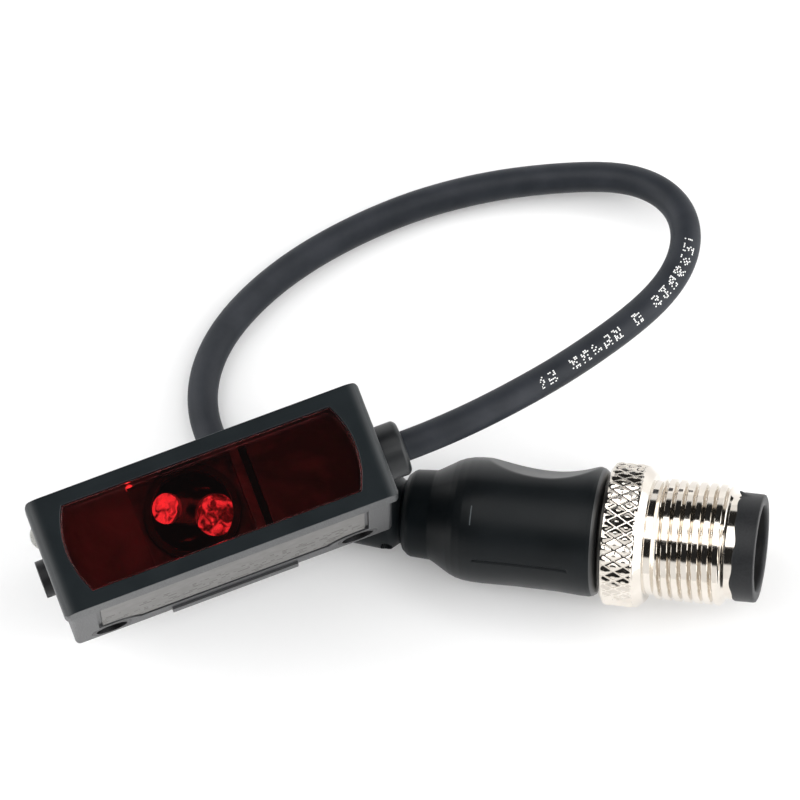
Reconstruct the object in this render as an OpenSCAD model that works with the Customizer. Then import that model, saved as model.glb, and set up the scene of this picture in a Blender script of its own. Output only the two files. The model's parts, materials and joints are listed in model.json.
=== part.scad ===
// Miniature photoelectric sensor with a short moulded lead and a 12 mm screw plug.
// Origin: middle of the two mounting holes. +X runs along the head towards the lead,
// +Y along the mounting holes, +Z out of the window.

/* [Head] */
// Length of the front cover
head_l = 34; // [32:0.5:38]
// Width of the front cover
head_w = 11.7; // [11.4:0.1:13]
// Depth from the back pad to the front face
head_d = 20; // [19:0.5:24]
// Depth of the front cover
cover_d = 3.8; // [3.6:0.1:4.4]
// Distance by which the housing is shorter than the cover at each end
end_inset = 0.6; // [0.4:0.1:0.8]
// Distance by which the housing is narrower than the cover on each side
side_inset = 0.25; // [0.1:0.05:0.3]
// Wall thickness of the housing
wall = 1.2; // [1:0.1:1.4]
// Radius of the rounded short edges of the front face
edge_r = 1.5; // [0.8:0.1:1.8]
// Radius of the upright corners
corner_r = 0.5; // [0.4:0.1:1.1]

/* [Window] */
// Length of the window between the tops of its arched ends
window_l = 29.5; // [28:0.1:30.5]
// Width of the window
window_w = 8.8; // [8.4:0.1:9]
// Height of the arc at each end of the window
window_arc = 1.1; // [0.8:0.1:1.6]
// Depth of the window's face below the front face
window_sunk = 0.15; // [0.1:0.05:0.4]

/* [Optics] */
// Place of the lens along the head
lens_x = -2; // [-3:0.5:0]
// Diameter of the lens
lens_d = 7.8; // [7:0.1:8]
// Width of the divider slot
slot_w = 0.8; // [0.6:0.1:1]

/* [Mounting holes] */
// Distance between the two mounting holes
hole_pitch = 25.4; // [25:0.1:26]
// Diameter of the mounting holes
hole_d = 3.2; // [3:0.1:3.4]
// Distance from the back pad to the hole axis
hole_back = 2.8; // [2.6:0.1:3]

/* [Adjuster] */
// Diameter of the adjuster knob
knob_d = 3.7; // [3.2:0.1:4]
// Length of the knob outside the end wall
knob_proud = 1.3; // [1:0.1:1.6]

/* [Lead] */
// Diameter of the lead
cable_d = 3; // [3:0.1:3.4]
// Diameter of the gland ring
gland_d = 5.5; // [5.2:0.1:6]
// Distance from the front face to the gland axis
gland_depth = 10.2; // [9.8:0.1:10.6]

/* [Plug] */
// Outside diameter of the coupling thread
thread_d = 12; // [12:0.5:12]
// Diameter of the knurled collar
collar_d = 14.1; // [13.8:0.1:15]
// Largest diameter of the grip
grip_d = 12.8; // [12.4:0.1:13.2]
// Direction of the plug in the XY plane, in degrees
plug_turn = -28; // [-30:1:-26]
// Angle by which the plug's nose is raised, in degrees
plug_rise = 8; // [7:0.5:9]

/* [Hidden] */
$fn = 64;
gap = 0.05;
over = 1;

// Heights in the head
back_z = -hole_back;
front_z = back_z + head_d;
split_z = front_z - cover_d;
plate_z = front_z - 1.4;
seal_t = 0.2;
flange_z = plate_z - seal_t;
carrier_t = 1;
carrier_z = split_z + carrier_t;

// Housing
body_l = head_l - 2 * end_inset;
body_w = head_w - 2 * side_inset;
body_end = body_l / 2;
cavity_l = body_l - 2 * wall;
cavity_w = body_w - 2 * wall;
ear_z = 3.4;
ear_x = 8.6;
pad_x = 6.5;
pad_h = 0.5;
ledge_h = 1.8;
lip_z = 0.6;
recess_t = 0.3;
recess_end = 13.9;
recess_top = split_z - 0.9;
ear_r = 3.4;
ear_drop = 1.1;
sleeve_r = hole_d / 2 + 0.45;

// Window and carrier outlines
step_end = 0.75;
step_side = 0.3;
carrier_l = head_l - 2.6;
carrier_w = window_w + 0.6;

// Optics
pocket = [10.4, 8.2, 2];
barrel_r = 4.6;
barrel_top = carrier_z - 0.9;
lens_seat_z = 10.8;
block = [-8, 5.8, 8.6, 7.8];
slot_x = lens_x + pocket[0] / 2 + 1.3;
slot_z = 9.6;
emitter_xy = [lens_x - 1.9, 1.3];
receiver_xy = [lens_x + 1.9, -0.7];

// Boards
board_z = 5.6;
board_t = 0.8;
board_top = board_z + board_t;
board_left = -11.9;
board_right = 11.4;
board_w = 8.4;
end_board_x = board_left - board_t;

// Left end wall
knob_z = 7.2;
indicator_y = 3.2;
indicator_z = 11.8;
indicator_r = 1.1;
trimmer = [2.3, 4.4, 4.4];

// Gland
gland_z = front_z - gland_depth;
gland_end = head_l / 2 + 2.6;
gland_stem_r = 2;
gland_inner = body_end - 2.4;

// Plug: stations along its axis, counted from where the lead enters
plug_pos = [9.4, 0.9, -8];
relief_l = 10.5;
neck_l = 2.8;
shoulder_l = 2.9;
grip_end = 30;
collar_start = grip_end + 0.3;
sleeve_start = collar_start + 4;
sleeve_end = 43.4;
ring_start = sleeve_end + 0.2;
plug_l = 46;
carrier_r = 4.7;
carrier_start = 24;
socket_r = 4.15;
socket_start = 36;
pin_r = 0.5;
pin_circle = 2.5;
pin_end = 44.5;

// Route of the lead's centre line, from the gland to the plug
ROUTE = [
    [19.6, 0, 7], [22, 0, 7], [25, 0.2, 6.8], [28, 0.5, 6.4], [31.5, 1.1, 5.5],
    [35, 1.8, 4.4], [38.5, 2.7, 3.2], [42, 3.8, 1.8], [45.3, 5.1, 0.4], [48.4, 6.8, -1.1],
    [51.2, 9, -2.6], [53, 11.8, -4], [53.5, 14.8, -5.2], [52.5, 17.7, -6.3],
    [50.2, 20, -7.3], [47, 21.6, -8.2], [43, 23, -9.1], [39, 24.1, -9.7],
    [35, 24.8, -10.1], [30.5, 25.2, -10.2], [26, 25.1, -10.2], [21, 24.6, -10.2],
    [16.2, 23.6, -10.2], [11.8, 22, -10.2], [8, 19.9, -10.2], [5.2, 17.2, -10.2],
    [3.6, 14.2, -10.1], [3.1, 11.2, -9.9], [3.4, 8.4, -9.5], [4.2, 5.9, -9.1],
    [5.6, 3.7, -8.7], [7.5, 1.95, -8.3], [9.4, 0.9, -8]];
cable_sides = 8;

// ---- shared shapes ----

// Bar with rounded upright corners, standing on z = 0
module rounded_bar(l, w, h, r) {
    linear_extrude(h) {
        square([l - 2 * r, w], center = true);
        square([l, w - 2 * r], center = true);
        for (sx = [-1, 1], sy = [-1, 1])
            translate([sx * (l / 2 - r), sy * (w / 2 - r)])
                circle(r);
    }
}

// Outline with straight long sides and arched ends
module window_outline(l, w, arc) {
    big_r = (w * w / 4 + arc * arc) / (2 * arc);
    square([l - 2 * arc, w], center = true);
    for (side = [-1, 1])
        intersection() {
            translate([side * l / 4, 0])
                square([l / 2, w], center = true);
            translate([side * (l / 2 - big_r), 0])
                circle(big_r, $fn = 180);
        }
}

// Round bar along X between two stations
module x_rod(x0, x1, r) {
    translate([x0, 0, 0])
        rotate([0, 90, 0])
            cylinder(h = x1 - x0, r = r);
}

// Places its children at both mounting holes
module at_holes() {
    for (side = [-1, 1])
        translate([side * hole_pitch / 2, 0, 0])
            children();
}

// Carries an upright piece over to the plug's axis
module on_plug() {
    translate(plug_pos)
        rotate([0, 0, plug_turn])
            rotate([0, -plug_rise, 0])
                rotate([0, 90, 0])
                    children();
}

// ---- head ----

// Recess in one long side, which leaves the two mounting ears standing
module side_recess() {
    translate([0, -body_w / 2 - over, 0])
        rotate([-90, 0, 0])
            linear_extrude(over + recess_t)
                difference() {
                    translate([-recess_end, -recess_top])
                        square([2 * recess_end, recess_top - lip_z]);
                    for (side = [-1, 1])
                        translate([side * hole_pitch / 2, ear_drop]) {
                            circle(ear_r);
                            translate([side * 5, 0])
                                square([10, 2 * ear_r], center = true);
                        }
                }
}

module housing() {
    color([0.08, 0.09, 0.1])
        difference() {
            union() {
                translate([0, 0, back_z])
                    rounded_bar(body_l, body_w, split_z - back_z, corner_r);
                translate([-pad_x, -head_w / 2, back_z])
                    cube([2 * pad_x, head_w, ledge_h]);
            }
            translate([0, 0, ear_z])
                rounded_bar(cavity_l, cavity_w, head_d, corner_r / 2);
            translate([-ear_x, -cavity_w / 2, back_z + wall])
                cube([2 * ear_x, cavity_w, head_d]);
            for (side = [-1, 1])
                translate([side * (pad_x + head_l / 2), 0, back_z])
                    cube([head_l, head_w + over, 2 * pad_h], center = true);
            at_holes()
                rotate([90, 0, 0])
                    cylinder(h = head_w + over, r = sleeve_r, center = true);
            side_recess();
            mirror([0, 1, 0])
                side_recess();
            translate([0, 0, gland_z])
                x_rod(body_end - wall - over, body_end + over, gland_stem_r + gap);
            translate([0, 0, knob_z]) {
                x_rod(-body_end - over, -body_end + wall + over, 1.25);
                x_rod(-body_end - over, -body_end + 0.5, knob_d / 2 + 0.08);
            }
            translate([0, indicator_y, indicator_z])
                x_rod(-body_end - over, -body_end + wall + over, indicator_r + gap);
        }
}

module front_cover() {
    color([0.1, 0.11, 0.12])
        difference() {
            intersection() {
                translate([0, 0, split_z])
                    rounded_bar(head_l, head_w, cover_d, corner_r);
                rotate([90, 0, 0])
                    linear_extrude(2 * head_w, center = true) {
                        translate([-head_l / 2, split_z])
                            square([head_l, cover_d - edge_r]);
                        translate([-head_l / 2 + edge_r, split_z])
                            square([head_l - 2 * edge_r, cover_d]);
                        for (side = [-1, 1])
                            translate([side * (head_l / 2 - edge_r), front_z - edge_r])
                                circle(edge_r);
                    }
            }
            translate([0, 0, split_z - over])
                rounded_bar(carrier_l + 2 * gap, carrier_w + 2 * gap,
                    plate_z - split_z + over, corner_r / 2 + gap);
            translate([0, 0, split_z])
                linear_extrude(head_d)
                    window_outline(window_l, window_w, window_arc);
        }
}

module window() {
    color([0.35, 0.02, 0.03, 0.6]) {
        translate([0, 0, carrier_z])
            linear_extrude(flange_z - carrier_z)
                window_outline(window_l + 2 * step_end, window_w + 2 * step_side, window_arc);
        translate([0, 0, flange_z])
            linear_extrude(front_z - window_sunk - flange_z)
                window_outline(window_l - 2 * gap, window_w - 2 * gap, window_arc);
    }
}

module window_seal() {
    color([0.15, 0.15, 0.15])
        translate([0, 0, flange_z])
            linear_extrude(seal_t)
                difference() {
                    window_outline(window_l + 2 * step_end, window_w + 2 * step_side, window_arc);
                    window_outline(window_l, window_w, window_arc);
                }
}

module optics_block() {
    color([0.05, 0.05, 0.06])
        difference() {
            union() {
                difference() {
                    union() {
                        translate([0, 0, split_z])
                            rounded_bar(carrier_l, carrier_w, carrier_t, corner_r / 2);
                        translate([block[0], -block[2] / 2, block[3]])
                            cube([block[1] - block[0], block[2], split_z - block[3]]);
                    }
                    translate([lens_x, 0, carrier_z])
                        cube([pocket[0], pocket[1], 2 * pocket[2]], center = true);
                }
                intersection() {
                    translate([lens_x, 0, lens_seat_z])
                        cylinder(h = barrel_top - lens_seat_z, r = barrel_r);
                    translate([lens_x, 0, lens_seat_z])
                        cube([pocket[0], pocket[1], head_d], center = true);
                }
            }
            translate([lens_x, 0, lens_seat_z])
                cylinder(h = head_d, r = lens_d / 2 + gap);
            translate([emitter_xy[0], emitter_xy[1], 0])
                cylinder(h = head_d, r = 1.35);
            translate([receiver_xy[0], receiver_xy[1], 0])
                cylinder(h = head_d, r = 1.85);
            translate([slot_x - slot_w / 2, -pocket[1] / 2, slot_z])
                cube([slot_w, pocket[1], head_d]);
        }
}

// Plano-convex lens: a disc under a spherical cap
module objective_lens() {
    rim_t = 1.4;
    cap_h = 1.3;
    cap_r = (lens_d * lens_d / 4 + cap_h * cap_h) / (2 * cap_h);
    color([0.5, 0.1, 0.1, 0.5])
        translate([lens_x, 0, lens_seat_z])
            rotate_extrude($fn = 96) {
                square([lens_d / 2, rim_t]);
                intersection() {
                    translate([0, rim_t])
                        square([lens_d / 2, cap_h]);
                    translate([0, rim_t + cap_h - cap_r])
                        circle(cap_r, $fn = 180);
                }
            }
}

module light_baffle() {
    color([0.02, 0.02, 0.02])
        translate([slot_x - slot_w / 2 + gap, -pocket[1] / 2 + gap, slot_z + gap])
            cube([slot_w - 2 * gap, pocket[1] - 2 * gap, carrier_z - slot_z - 0.5]);
}

// Round lamp with a domed top, standing on the board
module domed_lamp(xy, r, h) {
    translate([xy[0], xy[1], board_top])
        rotate_extrude() {
            square([r, h - r]);
            intersection() {
                translate([0, h - r])
                    circle(r);
                translate([0, h - r])
                    square([r, r]);
            }
        }
}

module emitter_led() {
    color([0.9, 0.1, 0.1])
        domed_lamp(emitter_xy, 1.25, 3.6);
}

module receiver_diode() {
    color([0.25, 0.05, 0.05])
        domed_lamp(receiver_xy, 1.75, 3.4);
}

module main_board() {
    color([0.05, 0.3, 0.15])
        difference() {
            translate([board_left, -board_w / 2, board_z])
                cube([board_right - board_left, board_w, board_t]);
            for (side = [-1, 1])
                translate([side * 8, 0, board_z - over])
                    cylinder(h = board_t + 2 * over, r = 0.6);
        }
}

module controller_chip() {
    color([0.1, 0.1, 0.1])
        translate([-2.5, -2.5, board_z - 0.9])
            cube([5, 5, 0.9]);
}

module board_components() {
    color([0.6, 0.5, 0.35]) {
        for (i = [0:3], side = [-1, 1])
            translate([-9.6 + 1.6 * i, side * 2.6 - 0.4, board_z - 0.5])
                cube([1, 0.8, 0.5]);
        for (i = [0:3])
            translate([4 + 1.7 * i, -3.2, board_z - 0.6])
                cube([1.1, 1.6, 0.6]);
        for (i = [0:2])
            translate([6.6 + 1.2 * i, 2.4, board_top])
                cube([0.8, 1.4, 0.5]);
    }
}

module end_board() {
    color([0.05, 0.3, 0.15])
        translate([end_board_x, -board_w / 2, ear_z + 0.2])
            cube([board_t, board_w, split_z - ear_z - 0.5]);
}

module indicator_led() {
    lamp = [1.2, 1.4, 1.2];
    color([0.9, 0.75, 0.2])
        translate([end_board_x - lamp[0], indicator_y - lamp[1] / 2, indicator_z - lamp[2] / 2])
            cube(lamp);
}

// Round light pipe with a domed outer end
module indicator_lens() {
    dome_h = 0.5;
    dome_r = (indicator_r * indicator_r + dome_h * dome_h) / (2 * dome_h);
    pipe_l = 1.9;
    color([0.8, 0.82, 0.75, 0.8])
        translate([-body_end + wall + 0.2, indicator_y, indicator_z])
            rotate([0, -90, 0])
                rotate_extrude() {
                    square([indicator_r, pipe_l]);
                    intersection() {
                        translate([0, pipe_l])
                            square([indicator_r, dome_h]);
                        translate([0, pipe_l + dome_h - dome_r])
                            circle(dome_r);
                    }
                }
}

module adjuster_body() {
    color([0.15, 0.25, 0.5])
        translate([0, 0, knob_z])
            difference() {
                translate([end_board_x - trimmer[0], -trimmer[1] / 2, -trimmer[2] / 2])
                    cube(trimmer);
                x_rod(end_board_x - trimmer[0] - over, end_board_x - 0.5, 0.95);
            }
}

module adjuster_knob() {
    color([0.12, 0.12, 0.13])
        translate([0, 0, knob_z])
            difference() {
                union() {
                    x_rod(-body_end - knob_proud, -body_end + 0.45, knob_d / 2);
                    x_rod(-body_end + 0.4, end_board_x - trimmer[0] - 0.05, 1.2);
                    x_rod(-body_end + 0.4, end_board_x - 0.8, 0.9);
                }
                translate([-body_end - knob_proud, 0, 0])
                    cube([1, knob_d + over, 0.6], center = true);
            }
}

module mounting_sleeves() {
    color([0.75, 0.75, 0.72])
        at_holes()
            rotate([90, 0, 0])
                difference() {
                    cylinder(h = body_w, r = sleeve_r - 0.02, center = true);
                    cylinder(h = body_w + over, r = hole_d / 2, center = true);
                }
}

module label_plate() {
    label_t = 0.2;
    margin = 0.4;
    color([0.55, 0.55, 0.56])
        translate([0, -body_w / 2 + recess_t - label_t, 0])
            rotate([-90, 0, 0])
                linear_extrude(label_t)
                    difference() {
                        translate([-recess_end + margin, -recess_top + margin])
                            square([2 * (recess_end - margin), recess_top - lip_z - 2 * margin]);
                        for (side = [-1, 1])
                            translate([side * hole_pitch / 2, ear_drop]) {
                                circle(ear_r + margin);
                                translate([side * 5, 0])
                                    square([10, 2 * (ear_r + margin)], center = true);
                            }
                    }
}

module cable_gland() {
    ring_start = head_l / 2 + 0.1;
    lip = 0.35;
    color([0.08, 0.08, 0.09])
        translate([gland_inner, 0, gland_z])
            rotate([0, 90, 0])
                rotate_extrude()
                    polygon([[0, 0], [gland_stem_r, 0], [gland_stem_r, body_end - gland_inner],
                        [gland_stem_r + 0.3, body_end - gland_inner],
                        [gland_stem_r + 0.3, ring_start - gland_inner],
                        [gland_d / 2, ring_start - gland_inner],
                        [gland_d / 2, gland_end - gland_inner - lip],
                        [gland_d / 2 - lip, gland_end - gland_inner],
                        [0, gland_end - gland_inner]]);
}

module lead_wires() {
    wire_r = 0.32;
    color([0.55, 0.3, 0.15])
        for (i = [0:3])
            translate([0, i - 1.5, board_top + wire_r + gap])
                x_rod(board_right - 2.6, gland_inner, wire_r);
}

// ---- lead ----

function unit(v) = v / norm(v);
function clamp_i(i) = max(0, min(len(ROUTE) - 1, i));
function tangent(i) =
    i == 0 ? [1, 0, 0]
    : i == len(ROUTE) - 1 ? unit([cos(plug_turn) * cos(plug_rise),
        sin(plug_turn) * cos(plug_rise), sin(plug_rise)])
    : unit(ROUTE[clamp_i(i + 1)] - ROUTE[clamp_i(i - 1)]);
function side_of(t) = unit(cross([0, 0, 1], t));
function cable_ring(i) =
    let (t = tangent(i), s = side_of(t), u = cross(t, s))
    [for (k = [0:cable_sides - 1])
        let (a = 360 * k / cable_sides)
        ROUTE[i] + cable_d / 2 * (cos(a) * s + sin(a) * u)];

module cable() {
    n = cable_sides;
    last = len(ROUTE) - 1;
    points = [for (i = [0:last]) each cable_ring(i)];
    walls = [for (i = [0:last - 1], k = [0:n - 1], half = [0, 1])
        let (a = i * n + k, b = i * n + (k + 1) % n)
        half == 0 ? [a, a + n, b] : [b, a + n, b + n]];
    start_cap = [for (k = [0:n - 1]) k];
    end_cap = [for (k = [n - 1:-1:0]) last * n + k];
    color([0.12, 0.12, 0.14])
        polyhedron(points, concat(walls, [start_cap, end_cap]));
}

// ---- plug ----

// Overmoulded grip, waisted for two fingers, running back into a slotted strain relief
module connector_grip() {
    r = grip_d / 2;
    neck_start = relief_l;
    shoulder_start = neck_start + neck_l;
    grip_start = shoulder_start + shoulder_l;
    slot_t = 0.9;
    slot_step = 2.3;
    core_r = 1.9;
    color([0.05, 0.06, 0.07])
        on_plug()
            difference() {
                rotate_extrude($fn = 96)
                    polygon([[0, 0], [2.7, 0], [3.1, 0.5], [4.05, relief_l - 0.6],
                        [3.4, relief_l - 0.5], [3.4, relief_l], [4.3, relief_l],
                        [4.3, shoulder_start], [5.5, grip_start - 0.3], [r - 0.4, grip_start + 0.6],
                        [r - 0.2, grip_start + 2.5], [r - 0.6, 23], [r - 0.3, 26], [r, 28],
                        [r, grip_end - 0.6], [r - 0.5, grip_end], [0, grip_end]]);
                translate([0, 0, carrier_start])
                    cylinder(h = grip_end, r = carrier_r);
                for (i = [0:3], side = [-1, 1])
                    rotate([0, 0, 90 * i])
                        translate([side * (core_r + 5), 0, 1.2 + slot_step * i])
                            cube([10, 10, slot_t], center = true);
            }
}

module contact_carrier() {
    ring_r = 5.25;
    key_w = 0.9;
    color([0.06, 0.06, 0.07])
        on_plug() {
            difference() {
                rotate_extrude($fn = 96)
                    polygon([[0, carrier_start], [carrier_r, carrier_start],
                        [carrier_r, ring_start], [ring_r, ring_start], [ring_r, plug_l - 0.3],
                        [ring_r - 0.3, plug_l], [socket_r, plug_l], [socket_r, socket_start],
                        [0, socket_start]]);
                for (a = [45:90:315])
                    rotate([0, 0, a])
                        translate([pin_circle, 0, carrier_start - over])
                            cylinder(h = plug_l, r = pin_r + 0.02);
            }
            translate([-socket_r - 0.1, -key_w / 2, socket_start])
                cube([0.9, key_w, plug_l - socket_start - 0.6]);
        }
}

module contact_pins() {
    pin_start = 26;
    color([0.85, 0.65, 0.25])
        on_plug()
            for (a = [45:90:315])
                rotate([0, 0, a])
                    translate([pin_circle, 0, 0])
                        rotate_extrude($fn = 24)
                            polygon([[0, pin_start], [pin_r, pin_start], [pin_r, pin_end - 0.4],
                                [pin_r / 2, pin_end], [0, pin_end]]);
}

module coupling_nut() {
    r = collar_d / 2;
    thread_r = thread_d / 2;
    bore_r = carrier_r + 0.08;
    relief_r = thread_r - 0.5;
    color([0.78, 0.77, 0.72])
        on_plug()
            rotate_extrude($fn = 96)
                polygon([[bore_r, collar_start], [r - 0.5, collar_start], [r, collar_start + 0.5],
                    [r, sleeve_start - 0.5], [r - 0.5, sleeve_start], [relief_r, sleeve_start],
                    [relief_r, sleeve_start + 0.8], [thread_r, sleeve_start + 0.8],
                    [thread_r, sleeve_end - 0.5], [thread_r - 0.5, sleeve_end],
                    [bore_r, sleeve_end]]);
}

housing();
front_cover();
window();
window_seal();
optics_block();
objective_lens();
light_baffle();
emitter_led();
receiver_diode();
main_board();
controller_chip();
board_components();
end_board();
indicator_led();
indicator_lens();
adjuster_body();
adjuster_knob();
mounting_sleeves();
label_plate();
cable_gland();
lead_wires();
cable();
connector_grip();
contact_carrier();
contact_pins();
coupling_nut();
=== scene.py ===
import json
import math

import bmesh
import bpy
import numpy as np
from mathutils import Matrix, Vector


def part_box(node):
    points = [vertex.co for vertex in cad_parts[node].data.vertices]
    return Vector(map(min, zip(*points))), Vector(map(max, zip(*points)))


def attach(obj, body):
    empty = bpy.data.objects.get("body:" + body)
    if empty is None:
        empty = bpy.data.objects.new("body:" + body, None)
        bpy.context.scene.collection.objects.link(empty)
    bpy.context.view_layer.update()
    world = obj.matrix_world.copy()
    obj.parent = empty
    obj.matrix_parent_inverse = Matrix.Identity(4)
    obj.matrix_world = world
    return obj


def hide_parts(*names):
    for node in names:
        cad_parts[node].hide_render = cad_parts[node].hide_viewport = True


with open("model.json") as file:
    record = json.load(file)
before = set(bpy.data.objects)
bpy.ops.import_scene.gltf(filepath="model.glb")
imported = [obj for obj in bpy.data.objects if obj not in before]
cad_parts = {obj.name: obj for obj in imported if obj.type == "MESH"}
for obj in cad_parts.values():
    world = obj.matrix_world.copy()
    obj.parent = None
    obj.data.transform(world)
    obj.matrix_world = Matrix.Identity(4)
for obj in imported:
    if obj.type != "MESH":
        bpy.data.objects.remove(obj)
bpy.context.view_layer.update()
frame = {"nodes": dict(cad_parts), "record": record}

mm = 0.001

# ---------------------------------------------------------------- camera
# A very long lens stands almost over the window. It is turned so that the head's long
# side climbs to the right and its lower long side just shows.
camera_turn, camera_rise = math.radians(-20.6), math.radians(79.4)
camera_far = 900 * mm
camera_lens = 424.0  # focal length in millimetres
camera_aim = Vector((20.2 * mm, 2.6 * mm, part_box("front_cover")[1][2]))
camera_back = Vector((math.sin(camera_turn) * math.cos(camera_rise),
                      -math.cos(camera_turn) * math.cos(camera_rise),
                      math.sin(camera_rise)))
camera = bpy.data.objects.new("camera", bpy.data.cameras.new("camera"))
bpy.context.collection.objects.link(camera)
camera.data.lens = camera_lens
camera.data.clip_end = 20.0
camera.location = camera_aim + camera_back * camera_far
camera.rotation_mode = "QUATERNION"
camera.rotation_quaternion = (-camera_back).to_track_quat("-Z", "Y")
bpy.context.scene.camera = camera


# ---------------------------------------------------------------- lead
# The lead is extruded: a black rubbery jacket, 3 mm across, over four cores. It leaves the
# gland, sinks to the surface in one open loop and runs back under the head into the plug.
def smooth_line(points, steps):
    """Points joined by cubic arcs, each arc matching its neighbours' slopes (Catmull-Rom),
    then eased by averaging each point with its neighbours a few times. The ends stay."""
    first = 2 * points[0] - points[1]
    last = 2 * points[-1] - points[-2]
    p = np.vstack([first, points, last])
    t = (np.arange(steps) / steps)[None, :, None]
    a, b, c, d = (p[k:len(p) - 3 + k, None, :] for k in range(4))
    arcs = 0.5 * (2 * b + (c - a) * t + (2 * a - 5 * b + 4 * c - d) * t ** 2
                  + (3 * b - a - 3 * c + d) * t ** 3)
    line = np.vstack([arcs.reshape(-1, 3), points[-1]])
    for _ in range(6 * steps):
        line[1:-1] = 0.25 * line[:-2] + 0.5 * line[1:-1] + 0.25 * line[2:]
    return line


def closed_skin(name, rings, along):
    """A skin of four-sided faces over rings of points, wrapped round and shut at both ends
    by a fan to the middle of the end ring. The map's u follows `along`, its v goes from 0
    to 1 once round."""
    rows, cols = rings.shape[:2]
    verts = np.vstack([rings.reshape(-1, 3), rings[0].mean(axis=0), rings[-1].mean(axis=0)])
    row = np.arange(rows - 1)[:, None] * cols
    here, there = np.arange(cols)[None, :], (np.arange(cols)[None, :] + 1) % cols
    quads = np.stack([row + here, row + there, row + cols + there, row + cols + here], axis=-1)
    last = (rows - 1) * cols
    low = np.stack([here[0] * 0 + rows * cols, there[0], here[0]], axis=-1)
    high = np.stack([here[0] * 0 + rows * cols + 1, last + here[0], last + there[0]], axis=-1)
    mesh = bpy.data.meshes.new(name)
    mesh.from_pydata(verts.tolist(), [],
                     quads.reshape(-1, 4).tolist() + low.tolist() + high.tolist())
    uv = mesh.uv_layers.new(name="UVMap")
    v = np.stack([here / cols, (here + 1) / cols, (here + 1) / cols, here / cols], axis=-1)
    v = np.broadcast_to(v, quads.shape)
    u_low, u_high = along[:-1, None], along[1:, None]
    ones = np.ones((1, cols))
    u = np.stack([u_low * ones, u_low * ones, u_high * ones, u_high * ones], axis=-1)
    sides = np.stack([u, v], axis=-1).reshape(-1, 2)
    ends = np.zeros((6 * cols, 2))
    uv.data.foreach_set("uv", np.vstack([sides, ends]).astype(np.float32).ravel())
    mesh.update()
    obj = bpy.data.objects.new(name, mesh)
    bpy.context.collection.objects.link(obj)
    return obj


def smooth_below(obj, degrees):
    """Shades a piece smoothly, except over edges sharper than the angle."""
    obj.data.shade_smooth()
    obj.data.set_sharp_from_angle(angle=math.radians(degrees))


cable_d = 3 * mm
cable_route = mm * np.array([
    (19.6, 0, 7), (22, 0, 7), (25, 0.2, 6.8), (28, 0.5, 6.4), (31.5, 1.1, 5.5),
    (35, 1.8, 4.4), (38.5, 2.7, 3.2), (42, 3.8, 1.8), (45.5, 5.05, 0.4), (48.9, 6.6, -1.1),
    (51.9, 8.8, -2.6), (53.8, 11.6, -4), (54.3, 14.6, -5.2), (53.1, 17.6, -6.3),
    (50.5, 20, -7.3), (47, 21.6, -8.2), (43, 23, -9.1), (39, 24.1, -9.7),
    (35, 24.8, -10.1), (30.5, 25.2, -10.2), (26, 25.1, -10.2), (21, 24.6, -10.2),
    (16.2, 23.6, -10.2), (11.8, 22, -10.2), (8, 19.9, -10.2), (5.2, 17.2, -10.2),
    (3.6, 14.2, -10.1), (3.1, 11.2, -9.9), (3.4, 8.4, -9.5), (4.2, 5.9, -9.1),
    (5.6, 3.7, -8.7), (7.5, 1.95, -8.3), (9.4, 0.9, -8)])
cable_line = smooth_line(cable_route, 8)
cable_steps = np.linalg.norm(np.diff(cable_line, axis=0), axis=1)
cable_along = np.concatenate([[0], np.cumsum(cable_steps)])
tangent = np.gradient(cable_line, axis=0)
tangent /= np.linalg.norm(tangent, axis=1)[:, None]
level = np.cross([0, 0, 1], tangent)
level /= np.linalg.norm(level, axis=1)[:, None]
rise = np.cross(tangent, level)
turn = np.linspace(0, 2 * np.pi, 32, endpoint=False)[None, :, None]
cable_rings = cable_line[:, None, :] + cable_d / 2 * (
    np.cos(turn) * level[:, None, :] + np.sin(turn) * rise[:, None, :])
cable = closed_skin("cable_jacket", cable_rings, cable_along / mm)
smooth_below(cable, 40)


def shader(name, **sockets):
    """A new material: its node tree, its surface node with those sockets set, and a way in."""
    mat = bpy.data.materials.new(name)
    mat.use_nodes = True
    surface = mat.node_tree.nodes["Principled BSDF"]
    for label, value in sockets.items():
        surface.inputs[label.replace("_", " ")].default_value = value
    return mat, mat.node_tree, surface


def node(tree, kind, inputs=(), **settings):
    """A node of that kind, with its settings and inputs: a value, or a socket to link from."""
    made = tree.nodes.new("ShaderNode" + kind)
    for key, value in settings.items():
        setattr(made, key, value)
    for key, value in dict(inputs).items():
        if isinstance(value, bpy.types.NodeSocket):
            tree.links.new(value, made.inputs[key])
        else:
            made.inputs[key].default_value = value
    return made


def grain(tree, surface, size, depth, strength=1.0, detail=3.0):
    """Fine raised texture: noise of that grain size, in metres, pushed up by depth."""
    place = node(tree, "TexCoord").outputs["Object"]
    noise = node(tree, "TexNoise", {"Vector": place, "Scale": 1 / size, "Detail": detail})
    bump = node(tree, "Bump", {"Height": noise.outputs["Fac"], "Distance": depth,
                               "Strength": strength})
    tree.links.new(bump.outputs["Normal"], surface.inputs["Normal"])
    return noise.outputs["Fac"]


def shade_between(tree, factor, dark, light, socket, low=0.3, high=0.7):
    """Runs a colour from dark to light as the factor goes from low to high."""
    ramp = node(tree, "ValToRGB", {"Fac": factor})
    ramp.color_ramp.elements[0].position = low
    ramp.color_ramp.elements[0].color = (*dark, 1)
    ramp.color_ramp.elements[1].position = high
    ramp.color_ramp.elements[1].color = (*light, 1)
    tree.links.new(ramp.outputs["Color"], socket)
    return ramp


def clouds(tree, scale, detail):
    """Soft noise over the piece: `scale` patches to the metre."""
    place = node(tree, "TexCoord").outputs["Object"]
    return node(tree, "TexNoise", {"Vector": place, "Scale": scale,
                                   "Detail": detail}).outputs["Fac"]


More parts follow.
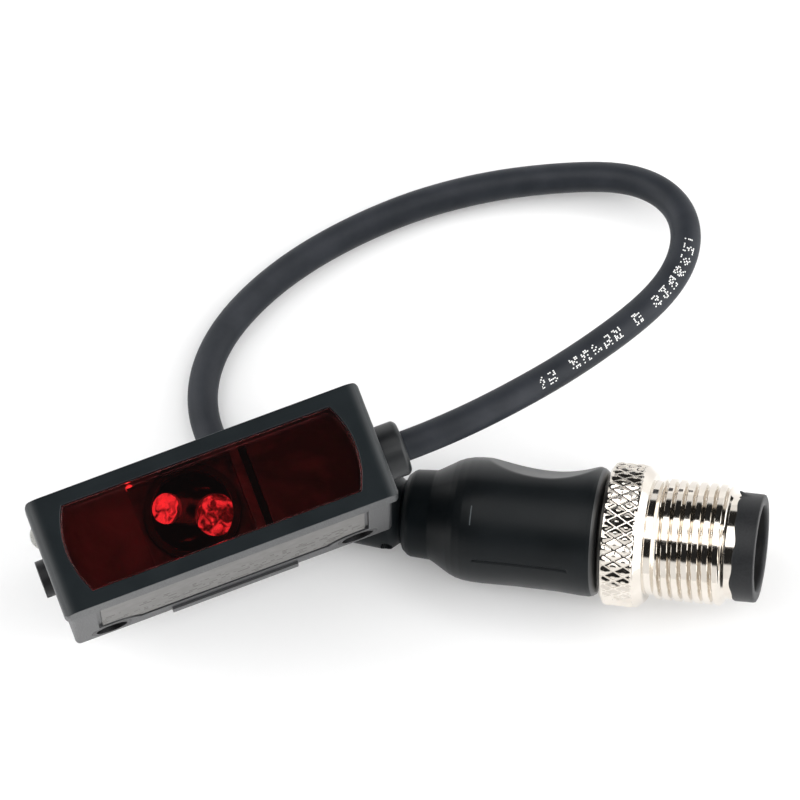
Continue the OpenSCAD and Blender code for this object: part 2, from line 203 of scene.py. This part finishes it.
def remap(tree, value, start, end, low, high):
    """Runs from low to high as the value goes from start to end, and stays beyond them."""
    return node(tree, "MapRange", {"Value": value, "From Min": start, "From Max": end,
                                   "To Min": low, "To Max": high}).outputs["Result"]


def vary(tree, factor, low, high, socket):
    """Runs a number from low to high as the factor goes from 0.3 to 0.7."""
    tree.links.new(remap(tree, factor, 0.3, 0.7, low, high), socket)


def maths(tree, kind, *values):
    """One sum, comparison or rounding of numbers or sockets."""
    return node(tree, "Math", dict(enumerate(values)), operation=kind).outputs[0]


def printed_dots(tree, start, end, low):
    """1 where the jacket carries its ink: small round dots on a grid seven high, thrown like
    dice, in blocks five wide with gaps between. It reads as nothing at all. Start and end are
    millimetres along the jacket; low is a share of the way round it."""
    uv = node(tree, "UVMap", uv_map="UVMap").outputs["UV"]
    split = node(tree, "SeparateXYZ", {"Vector": uv})
    dot_long, dot_round, block_long = 0.2, 0.018, 7.0
    along = maths(tree, "DIVIDE", split.outputs["X"], dot_long)
    up = maths(tree, "DIVIDE", maths(tree, "SUBTRACT", split.outputs["Y"], low), dot_round)
    column, row = maths(tree, "FLOOR", along), maths(tree, "FLOOR", up)
    cell = node(tree, "CombineXYZ", {"X": column, "Y": row}).outputs["Vector"]
    dice = node(tree, "TexWhiteNoise", {"Vector": cell}, noise_dimensions="2D").outputs["Value"]
    block = maths(tree, "FLOOR", maths(tree, "DIVIDE", column, block_long))
    gap = node(tree, "TexWhiteNoise", {"W": block}, noise_dimensions="1D").outputs["Value"]
    off_x = maths(tree, "SUBTRACT", maths(tree, "FRACT", along), 0.5)
    off_y = maths(tree, "SUBTRACT", maths(tree, "FRACT", up), 0.5)
    reach = maths(tree, "ADD", maths(tree, "MULTIPLY", off_x, off_x),
                  maths(tree, "MULTIPLY", off_y, off_y))
    tests = [maths(tree, "LESS_THAN", reach, 0.2), maths(tree, "GREATER_THAN", dice, 0.58),
             maths(tree, "LESS_THAN", maths(tree, "FLOORED_MODULO", column, block_long), 4.5),
             maths(tree, "GREATER_THAN", gap, 0.22), maths(tree, "GREATER_THAN", row, -0.5),
             maths(tree, "LESS_THAN", row, 6.5),
             maths(tree, "GREATER_THAN", split.outputs["X"], start),
             maths(tree, "LESS_THAN", split.outputs["X"], end)]
    mask = tests[0]
    for test in tests[1:]:
        mask = maths(tree, "MULTIPLY", mask, test)
    return mask


jacket, tree, surface = shader("jacket_rubber", Specular_IOR_Level=0.2)
speck = grain(tree, surface, 0.12 * mm, 0.012 * mm, 0.55)
base = shade_between(tree, clouds(tree, 260.0, 4.0), (0.014, 0.0165, 0.021),
                     (0.027, 0.03, 0.037), surface.inputs["Base Color"], 0.35, 0.75)
ink = printed_dots(tree, 14.5, 38.0, 0.235)
inked = node(tree, "MixRGB", {"Fac": ink, "Color1": base.outputs["Color"],
                              "Color2": (0.78, 0.78, 0.77, 1)})
tree.links.new(inked.outputs["Color"], surface.inputs["Base Color"])
vary(tree, speck, 0.42, 0.58, surface.inputs["Roughness"])
cable.data.materials.append(jacket)
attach(cable, "sensor")
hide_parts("cable")

# ---------------------------------------------------------------- plug: its own frame
# The plug lies on one straight axis, nose up. Stations are millimetres from where the lead
# enters it; the coupling thread's mount gives the axis and one point on it.
thread_mount = next(m for m in frame["record"]["mounts"] if m["name"] == "plug_thread")
plug_axis = np.array(thread_mount["axis"])
plug_axis /= np.linalg.norm(plug_axis)
thread_mid = 39
plug_start = np.array(thread_mount["pos_m"]) - thread_mid * mm * plug_axis
plug_across = np.cross([0, 0, 1], plug_axis)
plug_across /= np.linalg.norm(plug_across)
plug_over = np.cross(plug_axis, plug_across)


def on_plug(station, radius, angle):
    """Points in the row frame at a station along the plug, a radius from its axis and an
    angle round it, counted from level towards the top. Lengths are in millimetres."""
    station, radius, angle = np.broadcast_arrays(station, radius, angle)
    out = np.cos(angle)[..., None] * plug_across + np.sin(angle)[..., None] * plug_over
    return plug_start + mm * (station[..., None] * plug_axis + radius[..., None] * out)


def all_round(count):
    """Evenly spaced angles, one row of them."""
    return np.linspace(0, 2 * np.pi, count, endpoint=False)[None, :]


def profile(points, spacing):
    """Stations and radii along a line through the points, none further apart than spacing."""
    points = np.array(points, float)
    lengths = np.linalg.norm(np.diff(points, axis=0), axis=1)
    counts = np.maximum(1, np.ceil(lengths / spacing).astype(int))
    parts = [a + (b - a) * np.linspace(0, 1, n, endpoint=False)[:, None]
             for a, b, n in zip(points[:-1], points[1:], counts)]
    return np.vstack(parts + [points[-1:]])


def soft_min(a, b, width):
    """The smaller of two values, with the crossing between them rounded over that width."""
    share = np.clip(0.5 + 0.5 * (b - a) / width, 0, 1)
    return b * (1 - share) + a * share - width * share * (1 - share)


# ---------------------------------------------------------------- grip and strain relief
# One black polymer moulding over the insert's tail: a round grip with a scoop for the finger,
# a coned shoulder, a neck, and a strain relief with round pockets that let it bend.
grip_line = profile([
    (0, 2.55), (0.15, 2.7), (0.5, 3.05), (8.8, 3.86), (9.1, 3.8), (9.9, 3.15), (10.1, 3.05),
    (10.25, 3.3), (10.45, 3.75), (10.9, 4.15), (11.2, 4.28), (13.1, 4.4), (13.5, 4.6),
    (15.2, 5.6), (15.8, 5.85), (16.6, 6.04), (17.4, 6.12), (18.5, 6.16), (22, 6.12),
    (26, 6.2), (28.3, 6.36), (29.1, 6.36), (29.5, 6.25), (29.75, 6.08), (29.93, 5.85),
    (30, 5.5), (30, 4.75), (24, 4.75),
    (24, 1.0)], 0.12)
angles = all_round(224)
station, radius = grip_line[:, :1], grip_line[:, 1:]
outside = (np.arange(len(grip_line)) < np.argmax(grip_line[:, 0] >= 30))[:, None]
radius = np.broadcast_to(radius, (len(grip_line), angles.shape[1])).copy()
scoop_lean = 17
for lean, floor_of_scoop, spread in (
        (scoop_lean, 5.12 + (station - 23.9) ** 2 / np.where(station < 23.9, 32, 21), 0.12),
        (188, 6.42 + (station - 22.5) ** 2 / 45, 0.3)):
    facing = np.cos(angles - np.radians(lean))
    scoop = np.where(facing > 0.2, floor_of_scoop / np.maximum(facing, 0.2), 99)
    radius = np.where(outside & (station > 16.2), soft_min(radius, scoop, spread), radius)
pocket_first, pocket_step, pocket_long, pocket_floor = 1.9, 2.3, 0.52, 1.95
pocket_wide = 0.36  # half its angle, in radians
for index in range(4):
    for half in (0, np.pi):
        turned = np.angle(np.exp(1j * (angles - half - (index + 1) * np.pi / 2)))
        spot = (((station - pocket_first - pocket_step * index) / pocket_long) ** 2
                + (turned / pocket_wide) ** 2)
        radius = np.where((spot < 1) & outside, np.minimum(radius, pocket_floor), radius)
slit_lean, slit_depth = np.radians(141.43), 0.14
slit = (np.abs(angles - slit_lean) < 0.005) & (station > 17.9) & (station < 27.3)
radius = np.where(slit & outside, radius - slit_depth, radius)
grip = closed_skin("grip", on_plug(station, radius, angles), grip_line[:, 0])
smooth_below(grip, 38)
grip_look, tree, surface = shader("grip_polymer", Specular_IOR_Level=0.22)
grain(tree, surface, 0.25 * mm, 0.01 * mm, 0.4)
# The scoop is polished by fingers, the front rim by the mould; the rest is duller.
split = node(tree, "SeparateXYZ", {"Vector": node(tree, "UVMap", uv_map="UVMap").outputs["UV"]})
from_scoop = maths(tree, "ABSOLUTE", maths(tree, "SUBTRACT", maths(
    tree, "FRACT", maths(tree, "ADD", split.outputs["Y"], 0.5 - scoop_lean / 360)), 0.5))
polish = maths(tree, "MULTIPLY", remap(tree, from_scoop, 0.07, 0.13, 0.55, 0.18),
               remap(tree, split.outputs["X"], 13.0, 16.5, 0.45, 1.0))
rim = maths(tree, "MULTIPLY", maths(tree, "GREATER_THAN", split.outputs["X"], 29.45), 0.8)
tree.links.new(maths(tree, "ADD", polish, rim), surface.inputs["Specular IOR Level"])
cloud = clouds(tree, 150.0, 5.0)
tint = shade_between(tree, cloud, (0.0022, 0.0036, 0.0044), (0.0046, 0.0066, 0.008),
                     surface.inputs["Base Color"])
# A painted highlight: a thin lighter stripe in the base colour at station 17.6 mm, standing in
# for light caught on a small ridge of the moulding.
painted_ridge_highlight = maths(tree, "MULTIPLY",
             maths(tree, "COMPARE", split.outputs["X"], 17.6, 0.06),
             maths(tree, "COMPARE", split.outputs["Y"], 97 / 360, 0.025))
grip_tint_with_highlight = node(tree, "MixRGB", {"Fac": painted_ridge_highlight, "Color1": tint.outputs["Color"],
                               "Color2": (0.07, 0.08, 0.085, 1)})
tree.links.new(grip_tint_with_highlight.outputs["Color"], surface.inputs["Base Color"])
vary(tree, cloud, 0.36, 0.46, surface.inputs["Roughness"])
grip.data.materials.append(grip_look)
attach(grip, "sensor")
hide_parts("connector_grip")

# ---------------------------------------------------------------- coupling nut
# Turned from one brass bar and bright nickel plated: a collar with a rolled diamond knurl,
# and a sleeve with the 12 mm coupling thread of 1 mm pitch. It spins on the insert.
thread_mean, crest_rise, groove_depth = 5.6, 0.33, 0.46
nut_line = np.vstack([
    profile([(30.3, 4.8), (30.3, 6.3), (30.36, 6.5), (30.62, 6.86)], 0.12),
    profile([(30.68, 6.94), (33.85, 6.94)], 0.1),
    profile([(33.91, 6.92), (34.6, 6.3), (34.66, 6.2), (34.66, 5.66)], 0.12),
    profile([(34.7, thread_mean), (35.3, thread_mean)], 0.1),
    profile([(35.34, thread_mean), (42.3, thread_mean)], 0.0625),
    profile([(42.36, 5.5), (42.5, 5.26), (42.56, 5.2), (43.52, 5.2), (43.58, 5.14),
             (43.58, 4.85), (43.53, 4.8), (30.36, 4.8)], 0.4)])
collar_from, collar_to, thread_from, thread_to = 30.68, 33.85, 35.34, 42.3
diamonds, diamond_long, diamond_high, diamond_flat, knurl_sunk = 38, 2.0, 0.28, 0.8, 0.16
pitch, groove_from, groove_flank = 1.0, 0.27, 0.23
angles = all_round(10 * diamonds)
turns = angles / (2 * np.pi)
station, radius = nut_line[:, :1], nut_line[:, 1:]
skin_side = (np.arange(len(nut_line)) < np.argmax(nut_line[:, 0] >= 43.5))[:, None]
one_way = (diamonds * turns + station / diamond_long) % 1
other_way = (diamonds * turns - station / diamond_long) % 1
pyramid = 1 - 2 * np.maximum(np.abs(one_way - 0.5), np.abs(other_way - 0.5))
on_collar = skin_side & (station > collar_from - 0.01) & (station < collar_to + 0.01)
fade = np.clip(np.minimum(station - collar_from, collar_to - station) / 0.25, 0, 1)
knurl = diamond_high * np.minimum(pyramid, diamond_flat) - knurl_sunk
radius = radius + np.where(on_collar, fade * knurl, 0)
from_crest = np.abs((station / pitch - turns + 0.1) % 1 - 0.5)
groove = np.clip((from_crest - groove_from) / groove_flank, 0, 1)
groove = groove ** 2 * (3 - 2 * groove)
on_thread = skin_side & (station > thread_from) & (station < thread_to)
run_out = (np.clip((station - thread_from) / 0.5, 0, 1)
           * np.clip((thread_to - station) / 0.3, 0, 1))
threaded = thread_mean + run_out * (crest_rise - groove_depth * groove)
radius = np.where(on_thread, threaded, radius)
nut = closed_skin("threaded_nut", on_plug(station, radius, angles), nut_line[:, 0])
smooth_below(nut, 42)
nickel, tree, surface = shader("bright_nickel", Metallic=1.0)
speck = grain(tree, surface, 0.3 * mm, 0.002 * mm, 0.3)
shade_between(tree, clouds(tree, 420.0, 4.0), (0.67, 0.62, 0.555), (0.78, 0.73, 0.665),
              surface.inputs["Base Color"])
vary(tree, speck, 0.06, 0.13, surface.inputs["Roughness"])
nut.data.materials.append(nickel)
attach(nut, "coupling_nut")
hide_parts("coupling_nut")

# ---------------------------------------------------------------- insert
# The black insert that holds the four pins. Its open front ring stands out of the nut; the
# ring's back edge is uneven, as the moulding left it, and one small nib sits on it.
insert_line = profile([
    (24.2, 0.4), (24.2, 4.6), (24.3, 4.7), (43.66, 4.7), (43.68, 5.22), (43.3, 5.225),
    (43.3, 5.28), (43.36, 5.32), (45.2, 5.3), (45.38, 5.25), (45.45, 5.12), (45.45, 4.4),
    (45.4, 4.3), (45.25, 4.2), (36.2, 4.15), (36, 4.0), (36, 0.4)], 0.2)
angles = all_round(240)
station, radius = (np.broadcast_to(insert_line[:, k:k + 1], (len(insert_line), 240)).copy()
                   for k in (0, 1))
nib_lean, skirt_to = np.radians(27), 44.5
wave = 0.13 * np.sin(4 * angles + 0.9) + 0.07 * np.sin(11 * angles + 2.1)
nib = np.exp(-((angles - nib_lean) / 0.07) ** 2)
skirt = (insert_line[:, 1:] > 5.222) & (insert_line[:, :1] < skirt_to)
lift = np.clip((skirt_to - insert_line[:, :1]) / 1.1, 0, 1)
station += np.where(skirt, lift * (wave - 0.4 * nib), 0)
radius += np.where(skirt, lift ** 2 * 0.32 * nib, 0)
insert = closed_skin("pin_insert", on_plug(station, radius, angles), insert_line[:, 0])
smooth_below(insert, 35)
insert_look, tree, surface = shader("insert_plastic", Specular_IOR_Level=0.3)
speck = grain(tree, surface, 0.18 * mm, 0.012 * mm, 0.5)
shade_between(tree, speck, (0.008, 0.0085, 0.0095), (0.015, 0.016, 0.018),
              surface.inputs["Base Color"])
vary(tree, speck, 0.4, 0.55, surface.inputs["Roughness"])
insert.data.materials.append(insert_look)
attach(insert, "sensor")
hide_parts("contact_carrier")

# ---------------------------------------------------------------- housing
# The body is one moulding of black glass-filled plastic, open at the front. Its edges are
# eased by the mould, so the exact CAD shape gets a small round on every edge.
def moulded(name, dark, light, rough, **sockets):
    """Moulded plastic: a fine spark texture, and a colour that drifts from dark to light."""
    mat, tree, surface = shader(name, **sockets)
    speck = grain(tree, surface, 0.14 * mm, 0.01 * mm, 0.5)
    shade_between(tree, clouds(tree, 230.0, 5.0), dark, light, surface.inputs["Base Color"])
    vary(tree, speck, rough[0], rough[1], surface.inputs["Roughness"])
    return mat


def eased(name, cad_name, round_mm, mat):
    """A piece with a CAD node's exact shape and small rounds on its edges. The triangles of
    each flat face are joined first, so that the rounds run clean."""
    mesh = frame["nodes"][cad_name].data.copy()
    mesh.name = name
    cut = bmesh.new()
    cut.from_mesh(mesh)
    bmesh.ops.remove_doubles(cut, verts=cut.verts, dist=0.001 * mm)
    bmesh.ops.dissolve_limit(cut, angle_limit=math.radians(0.5), verts=cut.verts,
                             edges=cut.edges)
    cut.to_mesh(mesh)
    cut.free()
    mesh.materials.clear()
    mesh.materials.append(mat)
    mesh.shade_smooth()
    piece = bpy.data.objects.new(name, mesh)
    bpy.context.collection.objects.link(piece)
    rounds = piece.modifiers.new("rounds", "BEVEL")
    rounds.width, rounds.segments = round_mm * mm, 2
    rounds.limit_method, rounds.angle_limit = "ANGLE", math.radians(28)
    rounds.miter_outer = "MITER_ARC"
    piece.modifiers.new("even", "WEIGHTED_NORMAL")
    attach(piece, "sensor")
    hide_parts(cad_name)
    return piece


def give(name, mat):
    """Puts one finish on every slot of a CAD piece."""
    data = frame["nodes"][name].data
    for k in range(len(data.materials)):
        data.materials[k] = mat
    return mat


housing = eased("body_shell", "housing", 0.12,
                moulded("housing_plastic", (0.010, 0.0105, 0.012), (0.018, 0.019, 0.021),
                        (0.36, 0.5), Specular_IOR_Level=0.5))

# ---------------------------------------------------------------- front cover
# The bezel is a second moulding, welded round the body's mouth. It is a blue-black plastic
# with a matt top, rounded over at its two short ends.
cover_look = moulded("cover_plastic", (0.005, 0.0078, 0.0095), (0.0085, 0.012, 0.014),
                     (0.38, 0.52), Specular_IOR_Level=0.2)
tree = cover_look.node_tree
facing = node(tree, "SeparateXYZ", {"Vector": node(tree, "TexCoord").outputs["Normal"]})
tree.links.new(remap(tree, facing.outputs["Z"], 0.75, 0.985, 0.5, 0.08),
               tree.nodes["Principled BSDF"].inputs["Specular IOR Level"])
bezel = eased("bezel", "front_cover", 0.1, cover_look)

# ---------------------------------------------------------------- window
# The window is one plate of deep red acrylic, polished, with bowed ends. Only red light
# comes through it.
def glass(name, colour, rough, **sockets):
    """Clear or tinted plastic that light passes through, with a faint waviness."""
    mat, tree, surface = shader(name, Transmission_Weight=1.0, IOR=1.49, Roughness=rough,
                                **sockets)
    speck = grain(tree, surface, 3 * mm, 0.004 * mm, 0.2)
    shade_between(tree, speck, [c * 0.92 for c in colour], colour, surface.inputs["Base Color"])
    return mat


window = eased("red_window", "window", 0.1,
               glass("window_red", (0.6, 0.13, 0.13), 0.02, Specular_IOR_Level=0.3))
# Its lower face is raised a little, so that it doesn't lie in one plane with the carrier's.
window_floor, window_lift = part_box("window")[0][2], 0.15 * mm
for vert in window.data.vertices:
    if vert.co.z < window_floor + 0.01 * mm:
        vert.co.z += window_lift

# ---------------------------------------------------------------- optics behind the window
# A dark carrier fills the head behind the window. It has a square pocket with the round
# lens, and beside it a deep slot that keeps stray light from crossing.
carrier, tree, surface = shader("carrier_plastic", Roughness=0.6, Specular_IOR_Level=0.3)
place = node(tree, "TexCoord").outputs["Object"]
drift = node(tree, "TexNoise", {"Vector": place, "Scale": 120.0, "Detail": 5.0,
                                "Roughness": 0.6, "Distortion": 0.6}).outputs["Fac"]
split = node(tree, "SeparateXYZ", {"Vector": place})
# Painted light: the carrier's colour is made paler towards -x and darker towards +x.
painted_side_light = remap(tree, split.outputs["X"], -12 * mm, 14 * mm, 0.1, -0.05)
mottled = shade_between(tree, maths(tree, "ADD", drift, painted_side_light),
                        (0.015, 0.015, 0.015), (0.12, 0.11, 0.11),
                        surface.inputs["Base Color"], 0.38, 0.68)
carrier_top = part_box("optics_block")[1][2]
lens_x = (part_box("objective_lens")[0][0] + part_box("objective_lens")[1][0]) / 2
off_x = maths(tree, "SUBTRACT", split.outputs["X"], lens_x)
from_lens = maths(tree, "SQRT", maths(tree, "ADD", maths(tree, "MULTIPLY", off_x, off_x),
                                      maths(tree, "MULTIPLY", split.outputs["Y"],
                                            split.outputs["Y"])))
ring_radius, rib_x = 4.35 * mm, 5.6 * mm
# Painted shadow: the carrier is drawn nearly black in a ring round the lens, where the barrel
# wall shades it.
off_ring = maths(tree, "ABSOLUTE", maths(tree, "SUBTRACT", from_lens, ring_radius))
painted_ring_shadow = remap(tree, off_ring, 0.3 * mm, 0.55 * mm, 0.04, 1.0)
# Painted shading by depth: the pocket floor is drawn up to 1.5 times lighter than the carrier's
# top.
painted_depth_shading = remap(tree, split.outputs["Z"], carrier_top - 1 * mm, carrier_top - 0.1 * mm, 1.5, 1.0)
# Painted highlight: the rib beside the slot is drawn 1.7 times lighter.
off_rib = maths(tree, "ABSOLUTE", maths(tree, "SUBTRACT", off_x, rib_x))
painted_rib_highlight = remap(tree, off_rib, 0.5 * mm, 0.7 * mm, 1.7, 1.0)
# The painted shadow ring, depth shading and rib highlight scale the mottled colour together.
painted_light_and_shade = maths(tree, "MULTIPLY", maths(tree, "MULTIPLY", painted_ring_shadow, painted_depth_shading), painted_rib_highlight)
carrier_colour = node(tree, "VectorMath", {0: mottled.outputs["Color"], "Scale": painted_light_and_shade},
                      operation="SCALE").outputs["Vector"]
tree.links.new(carrier_colour, surface.inputs["Base Color"])
# A painted glint: a small red glowing spot at the pocket's corner, standing in for a reflection
# of light there.
painted_glint_at = (lens_x - 4.9 * mm, 4.0 * mm, carrier_top)
from_painted_glint = node(tree, "VectorMath", {0: place, 1: painted_glint_at},
                  operation="DISTANCE").outputs["Value"]
painted_glint = remap(tree, from_painted_glint, 0.2 * mm, 0.42 * mm, 3.0, 0.0)
surface.inputs["Emission Color"].default_value = (1, 0.1, 0.1, 1)
tree.links.new(painted_glint, surface.inputs["Emission Strength"])
give("optics_block", carrier)
give("light_baffle", moulded("baffle_rubber", (0.001, 0.001, 0.001), (0.002, 0.002, 0.002),
                             (0.7, 0.8), Specular_IOR_Level=0.1))
give("window_seal", moulded("seal_rubber", (0.002, 0.002, 0.002), (0.004, 0.004, 0.004),
                            (0.6, 0.75), Specular_IOR_Level=0.1))
give("objective_lens", glass("lens_clear", (0.95, 0.9, 0.9), 0.0, Specular_IOR_Level=0.3))

# ---------------------------------------------------------------- emitter and receiver
# Both diodes are lumps of clear epoxy over a bright metal cup. Seen through the lens they
# break up into sparkling red patches with dark gaps; these glints are painted into the
# lumps' colour and made to glow.
def glinting_diode(name, cad_name, centre, size, seed, gaps):
    """A round lump of that size, in millimetres, standing on the board: height falls from
    the middle as a dome, with ripples; and a painted glint, a colour that also glows, bright
    where the cup would catch the light. The larger the gaps value, from 0 to 1, the less of
    it is painted bright."""
    rings, spokes = 24, 64
    top, fall, ripple = 10.0, 1.3, 0.12
    turn = all_round(spokes)
    out = np.linspace(1, 0.03, rings)[:, None]
    uneven = 1 + 0.1 * np.sin(3 * turn + seed) + 0.07 * np.sin(8 * turn + 2 * seed)
    dome = (top - fall * out ** 2 + ripple * np.sin(9 * out + 3 * turn + seed)) * mm
    x = (centre[0] + size[0] / 2 * out * uneven * np.cos(turn)) * mm
    y = (centre[1] + size[1] / 2 * out * uneven * np.sin(turn)) * mm
    foot = np.stack([x[0], y[0], np.full(spokes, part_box(cad_name)[0][2])], axis=-1)
    rows = np.concatenate([foot[None], np.stack([x, y, dome], axis=-1)])
    lump = closed_skin(name, rows, np.arange(len(rows)))
    smooth_below(lump, 50)
    mat, tree, surface = shader(name + "_epoxy", Roughness=0.12, Emission_Strength=1.0)
    place = node(tree, "TexCoord").outputs["Object"]
    painted_glint_speckle = node(tree, "TexNoise", {"Vector": place, "Scale": 1150.0, "Detail": 3.0,
                                      "Roughness": 0.55, "Distortion": 0.8}).outputs["Fac"]
    # Painted glint: the colour runs from dark red to bright red, and the same pattern glows,
    # standing in for light glinting off the cup.
    shade_between(tree, painted_glint_speckle, (0.12, 0.0, 0.0), (0.9, 0.08, 0.08),
                  surface.inputs["Base Color"], 0.35, 0.55)
    shade_between(tree, painted_glint_speckle, (0.05, 0, 0), (1.7, 0.2, 0.25),
                  surface.inputs["Emission Color"], gaps, gaps + 0.16)
    lump.data.materials.append(mat)
    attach(lump, "sensor")
    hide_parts(cad_name)
    return lump


emitter = glinting_diode("emitter", "emitter_led", (-3.9, 1.9), (3.0, 3.0), 1.0, 0.38)
receiver = glinting_diode("receiver", "receiver_diode", (-0.3, 0.1), (2.9, 3.5), 2.6, 0.46)

# ---------------------------------------------------------------- boards and parts inside
# Two green circuit boards with a black controller, pale ceramic parts, the blue trimmer that
# the knob turns, the amber lamp of the indicator, and the four coloured cores of the lead.
board = give("main_board", moulded("board_mask", (0.01, 0.09, 0.035), (0.02, 0.13, 0.055),
                                   (0.3, 0.4)))
give("end_board", board)
give("controller_chip", moulded("chip_epoxy", (0.012, 0.012, 0.012), (0.02, 0.02, 0.02),
                                (0.45, 0.6)))
give("board_components", moulded("part_ceramic", (0.3, 0.22, 0.14), (0.42, 0.33, 0.22),
                                 (0.4, 0.55)))
give("adjuster_body", moulded("trimmer_plastic", (0.02, 0.06, 0.25), (0.03, 0.09, 0.33),
                              (0.35, 0.5)))
give("lead_wires", moulded("core_pvc", (0.22, 0.07, 0.02), (0.3, 0.1, 0.03), (0.35, 0.5)))
give("indicator_led", moulded("lamp_epoxy", (0.7, 0.45, 0.05), (0.85, 0.6, 0.1), (0.15, 0.25)))

# ---------------------------------------------------------------- knob and indicator
# At the end away from the lead, a small black knob with a driver slot sets the reach, and a
# milky light pipe above it shows the state.
give("adjuster_knob", moulded("knob_plastic", (0.006, 0.006, 0.007), (0.011, 0.011, 0.013),
                              (0.38, 0.52), Specular_IOR_Level=0.35))
give("indicator_lens", moulded("light_pipe", (0.34, 0.34, 0.32), (0.44, 0.44, 0.41),
                               (0.25, 0.35), Transmission_Weight=0.4, IOR=1.49))

# ---------------------------------------------------------------- mounting sleeves
# Dull blackened steel tubes line the two screw holes, so that a tight screw can't crush the
# plastic.
def plated(name, dark, light, rough):
    """Plated metal with a slight unevenness."""
    mat, tree, surface = shader(name, Metallic=1.0)
    speck = grain(tree, surface, 0.1 * mm, 0.005 * mm, 0.4)
    shade_between(tree, speck, dark, light, surface.inputs["Base Color"])
    vary(tree, speck, rough[0], rough[1], surface.inputs["Roughness"])
    return mat


give("mounting_sleeves", plated("sleeve_steel", (0.03, 0.03, 0.032), (0.06, 0.06, 0.062),
                                (0.4, 0.55)))

# ---------------------------------------------------------------- label
# A thin satin film lies in the shallow field on the side. Its print is small and worn; here
# it is only rows of faint grey dashes.
label, tree, surface = shader("label_film", Roughness=0.5, Specular_IOR_Level=0.2)
place = node(tree, "SeparateXYZ", {"Vector": node(tree, "TexCoord").outputs["Object"]})
dash_long, line_high, print_top = 0.42 * mm, 0.75 * mm, 7.5 * mm
column = maths(tree, "FLOOR", maths(tree, "DIVIDE", place.outputs["X"], dash_long))
rise = maths(tree, "DIVIDE", place.outputs["Z"], line_high)
row = maths(tree, "FLOOR", rise)
inside = maths(tree, "FLOORED_MODULO", rise, 1.0)
cell = node(tree, "CombineXYZ", {"X": column, "Y": row}).outputs["Vector"]
dice = node(tree, "TexWhiteNoise", {"Vector": cell}, noise_dimensions="2D").outputs["Value"]
worn = clouds(tree, 700.0, 4.0)
ink = maths(tree, "MULTIPLY", maths(tree, "GREATER_THAN", dice, 0.5),
            maths(tree, "MULTIPLY", maths(tree, "LESS_THAN", inside, 0.55),
                  maths(tree, "GREATER_THAN", worn, 0.5)))
ink = maths(tree, "MULTIPLY", ink, maths(tree, "LESS_THAN", place.outputs["Z"], print_top))
film = shade_between(tree, worn, (0.1, 0.096, 0.09), (0.19, 0.185, 0.18),
                     surface.inputs["Base Color"], 0.0, 1.0)
printed = node(tree, "MixRGB", {"Fac": ink, "Color1": film.outputs["Color"],
                                "Color2": (0.06, 0.055, 0.05, 1)})
tree.links.new(printed.outputs["Color"], surface.inputs["Base Color"])
give("label_plate", label)

# ---------------------------------------------------------------- gland and pins
# A soft rubber collar seals the lead where it enters the head. The plug's four pins are
# turned brass with a gold flash.
gland = eased("gland", "cable_gland", 0.15,
              moulded("gland_rubber", (0.006, 0.0075, 0.0085), (0.011, 0.0125, 0.014),
                      (0.34, 0.46), Specular_IOR_Level=0.4))
give("contact_pins", plated("pin_gold", (0.75, 0.5, 0.16), (0.9, 0.66, 0.28), (0.18, 0.3)))

# ---------------------------------------------------------------- table and light
# A plain pale table at the height that the lead and plug lie on. The light is a white tent:
# one long soft box overhead, parallel with the plug, a dark gap on each side of it, and pale
# walls low down. A small dark opening lies where the flat window would mirror the box.
floor_z = min(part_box("cable")[0][2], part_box("connector_grip")[0][2])
half = 3.0
table_mesh = bpy.data.meshes.new("table")
table_mesh.from_pydata([(-half, -half, floor_z), (half, -half, floor_z), (half, half, floor_z),
                        (-half, half, floor_z)], [], [(0, 1, 2, 3)])
table = bpy.data.objects.new("table", table_mesh)
bpy.context.collection.objects.link(table)
paper, tree, surface = shader("white_paper", Roughness=0.9, Specular_IOR_Level=0.1,
                              Emission_Color=(1, 1, 1, 1), Emission_Strength=0.06)
shade_between(tree, clouds(tree, 300.0, 3.0), (0.9, 0.9, 0.9), (0.91, 0.91, 0.91),
              surface.inputs["Base Color"])
table.data.materials.append(paper)

world = bpy.data.worlds.new("light_tent")
bpy.context.scene.world = world
world.use_nodes = True
sky = world.node_tree
towards = camera_back - Vector(plug_axis) * camera_back.dot(Vector(plug_axis))
towards.normalize()
beyond = Vector(plug_axis).cross(towards)
beyond = beyond if beyond.y > 0 else -beyond
mirrored = Vector((-camera_back.x, -camera_back.y, camera_back.z))
direction = node(sky, "TexCoord").outputs["Generated"]


def part_along(axis):
    """How far the looked-at direction points along an axis, from -1 to 1."""
    made = node(sky, "VectorMath", {0: direction, 1: axis}, operation="DOT_PRODUCT")
    return made.outputs["Value"]


around = maths(sky, "ARCTAN2", part_along(beyond), part_along(towards))
share = remap(sky, around, -math.pi, math.pi, 0.0, 1.0)
tent = node(sky, "ValToRGB", {"Fac": share})
walls, box, gap = (1.05, 1.05, 1.05), (2.8, 2.8, 2.8), (0.02, 0.02, 0.02)
stops = [(-180, walls), (-43, walls), (-40, gap), (-3, gap), (-1, box), (41, box), (43, gap),
         (80, gap), (84, walls), (180, walls)]
elements = tent.color_ramp.elements
while len(elements) < len(stops):
    elements.new(0.5)
for element, (angle, colour) in zip(elements, stops):
    element.position = (angle + 180) / 360
    element.color = (*colour, 1)
hole = remap(sky, part_along(mirrored), math.cos(math.radians(13)),
             math.cos(math.radians(9)), 1.0, 0.02)
ends = remap(sky, maths(sky, "ABSOLUTE", part_along(Vector(plug_axis))), 0.68, 0.76, 0.0, 1.0)
closed = node(sky, "MixRGB", {"Fac": ends, "Color1": tent.outputs["Color"],
                              "Color2": (3.0, 3.0, 3.0, 1)})
glow = node(sky, "VectorMath", {0: closed.outputs["Color"], "Scale": hole}, operation="SCALE")
sky.links.new(glow.outputs["Vector"], sky.nodes["Background"].inputs["Color"])
sky.nodes["Background"].inputs["Strength"].default_value = 1.0
bpy.context.scene.view_settings.view_transform = "Standard"
